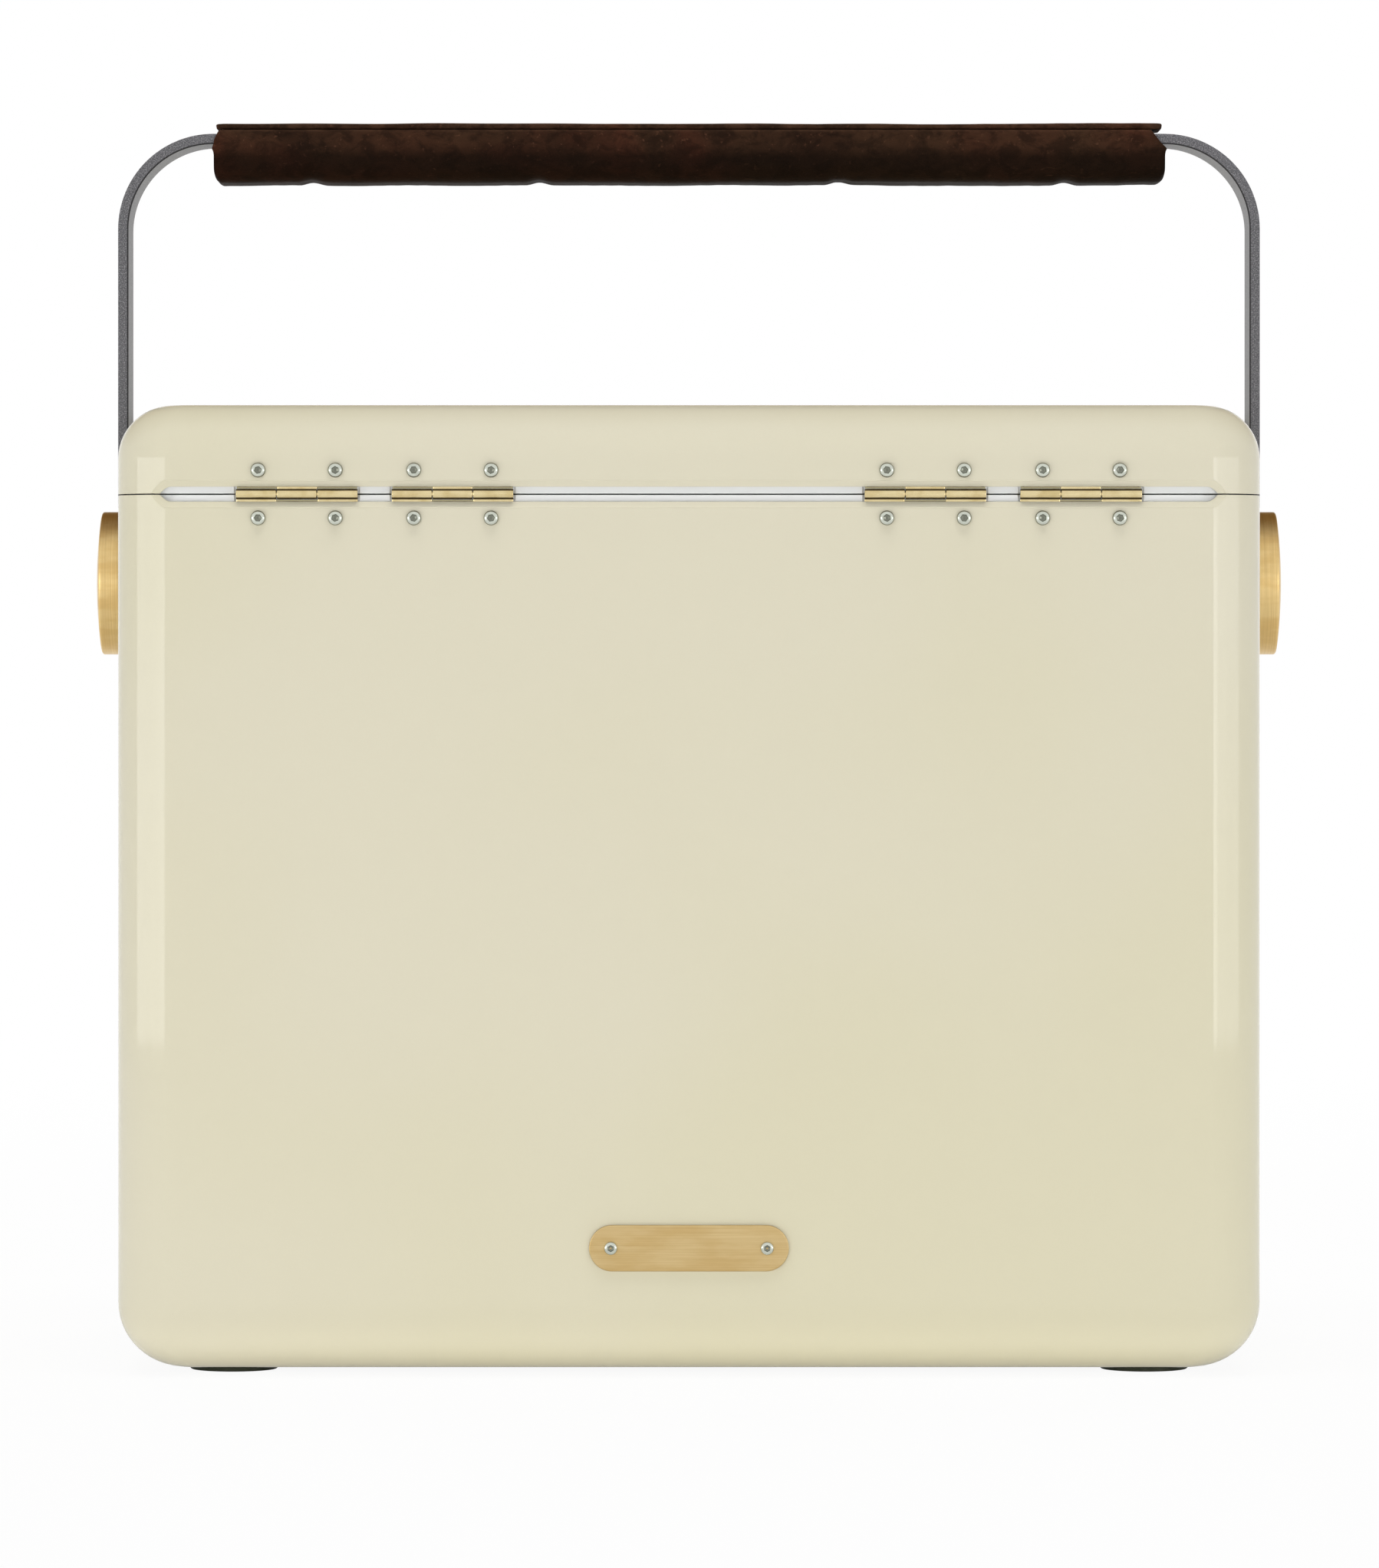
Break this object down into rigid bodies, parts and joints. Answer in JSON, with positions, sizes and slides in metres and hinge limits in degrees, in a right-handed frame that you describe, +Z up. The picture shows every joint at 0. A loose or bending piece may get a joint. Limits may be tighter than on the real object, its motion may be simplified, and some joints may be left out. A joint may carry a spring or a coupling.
{
  "type": "cooler box",
  "caption": "Hard-sided insulated cooler box with rounded painted shells, a hinged lid, a flat bail handle with a leather grip and a turn latch.",
  "frame": {"origin": "on the floor under the middle of the box", "axes": "+Z up; +X to the right in the view of the hinge side; -Y towards the hinges and name plate, +Y towards the latch"},
  "size_m": [0.3868, 0.2483, 0.3999],
  "materials": {
    "cream_paint": "gloss",
    "white_liner": "satin",
    "foam": "matte",
    "seal_rubber": "matte",
    "foot_rubber": "matte",
    "brushed_brass": "satin",
    "hinge_brass": "satin",
    "screw_steel": "gloss",
    "grey_bar": "satin",
    "plain_steel": "satin",
    "brown_leather": "matte",
    "core_plastic": "matte",
    "bush_nylon": "matte"
  },
  "bodies": {
    "box": {"body_shell": "cream_paint", "body_liner": "white_liner", "body_insulation": "foam", "foot_rear_left": "foot_rubber", "foot_rear_right": "foot_rubber", "foot_front_left": "foot_rubber", "foot_front_right": "foot_rubber", "name_plate": "brushed_brass", "plate_screw_left": "screw_steel", "plate_screw_right": "screw_steel", "hinge_1_body_leaf": "hinge_brass", "hinge_1_pin": "hinge_brass", "hinge_1_body_screw_left": "screw_steel", "hinge_1_body_screw_right": "screw_steel", "hinge_2_body_leaf": "hinge_brass", "hinge_2_pin": "hinge_brass", "hinge_2_body_screw_left": "screw_steel", "hinge_2_body_screw_right": "screw_steel", "hinge_3_body_leaf": "hinge_brass", "hinge_3_pin": "hinge_brass", "hinge_3_body_screw_left": "screw_steel", "hinge_3_body_screw_right": "screw_steel", "hinge_4_body_leaf": "hinge_brass", "hinge_4_pin": "hinge_brass", "hinge_4_body_screw_left": "screw_steel", "hinge_4_body_screw_right": "screw_steel", "pivot_bush_left": "bush_nylon", "pivot_bush_right": "bush_nylon", "pivot_bolt_left": "plain_steel", "pivot_bolt_right": "plain_steel", "pivot_plate_left": "plain_steel", "pivot_plate_right": "plain_steel", "pivot_cap_left": "brushed_brass", "pivot_cap_right": "brushed_brass", "latch_bush": "brushed_brass"},
    "lid": {"lid_shell": "cream_paint", "lid_liner": "white_liner", "lid_insulation": "foam", "lid_seal": "seal_rubber", "latch_keeper": "brushed_brass", "hinge_1_lid_leaf": "hinge_brass", "hinge_1_lid_screw_left": "screw_steel", "hinge_1_lid_screw_right": "screw_steel", "hinge_2_lid_leaf": "hinge_brass", "hinge_2_lid_screw_left": "screw_steel", "hinge_2_lid_screw_right": "screw_steel", "hinge_3_lid_leaf": "hinge_brass", "hinge_3_lid_screw_left": "screw_steel", "hinge_3_lid_screw_right": "screw_steel", "hinge_4_lid_leaf": "hinge_brass", "hinge_4_lid_screw_left": "screw_steel", "hinge_4_lid_screw_right": "screw_steel"},
    "handle": {"bail": "grey_bar", "grip_core": "core_plastic", "grip_sleeve": "brown_leather", "grip_strip": "brown_leather"},
    "latch": {"latch_knob": "brushed_brass", "latch_hook": "plain_steel", "latch_screw": "plain_steel"}
  },
  "joints": [
    {"name": "lid_hinge", "type": "hinge", "parent": "box", "child": "lid", "pos_m": [0, -0.1193, 0.277], "axis": [1, 0, 0], "range_deg": [0, 28]},
    {"name": "handle_swing", "type": "hinge", "parent": "box", "child": "handle", "pos_m": [0, 0, 0.2501], "axis": [1, 0, 0], "range_deg": [-105, 105]},
    {"name": "latch_turn", "type": "hinge", "parent": "box", "child": "latch", "pos_m": [0, 0.12, 0.263], "axis": [0, -1, 0], "range_deg": [0, 90]}
  ]
}
